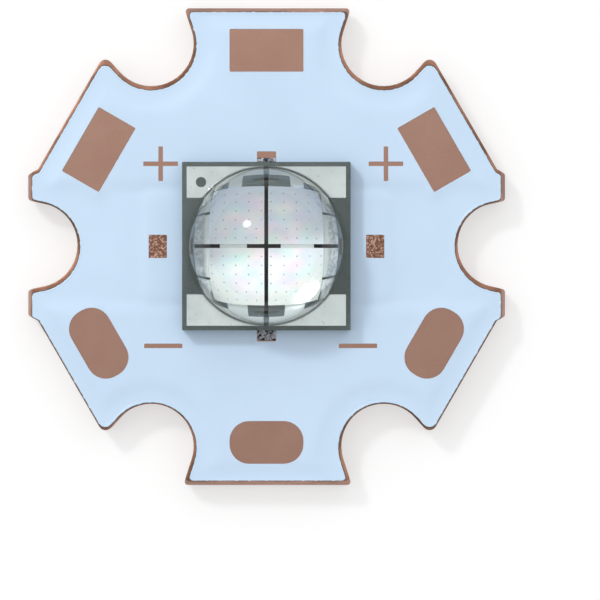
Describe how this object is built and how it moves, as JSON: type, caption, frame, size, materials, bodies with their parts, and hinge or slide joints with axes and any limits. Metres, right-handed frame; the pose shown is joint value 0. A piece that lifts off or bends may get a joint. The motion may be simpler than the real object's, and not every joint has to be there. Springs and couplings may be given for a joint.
{
  "type": "star pcb power led",
  "caption": "Star-shaped copper-core circuit board carrying a square power LED under a clear dome, with screw notches round its edge and bare wire pads marked plus and minus.",
  "frame": {"origin": "centre of the board's flat underside", "axes": "+Z from the underside through the dome, +Y towards the positive pads, +X to the right when seen from above"},
  "size_m": [0.02, 0.02, 0.0058],
  "materials": {
    "punched_copper": "satin",
    "epoxy_dielectric": "matte",
    "copper_foil": "satin",
    "white_solder_mask": "satin",
    "solder": "satin",
    "plated_contact": "satin",
    "nitride_ceramic": "satin",
    "silver_land": "satin",
    "thin_film_chip": "polished",
    "clear_silicone": "gloss"
  },
  "bodies": {
    "root": {"copper_core": "punched_copper", "dielectric_layer": "epoxy_dielectric", "anode_foil": "copper_foil", "cathode_foil": "copper_foil", "solder_mask": "white_solder_mask", "anode_solder": "solder", "cathode_solder": "solder", "thermal_solder": "solder", "anode_contact": "plated_contact", "thermal_contact": "plated_contact", "cathode_contact": "plated_contact", "ceramic_substrate": "nitride_ceramic", "upper_left_land": "silver_land", "upper_right_land": "silver_land", "middle_left_land": "silver_land", "middle_right_land": "silver_land", "lower_left_land": "silver_land", "lower_right_land": "silver_land", "led_chip_upper_left": "thin_film_chip", "led_chip_upper_right": "thin_film_chip", "led_chip_lower_left": "thin_film_chip", "led_chip_lower_right": "thin_film_chip", "silicone_lens": "clear_silicone"}
  },
  "joints": []
}
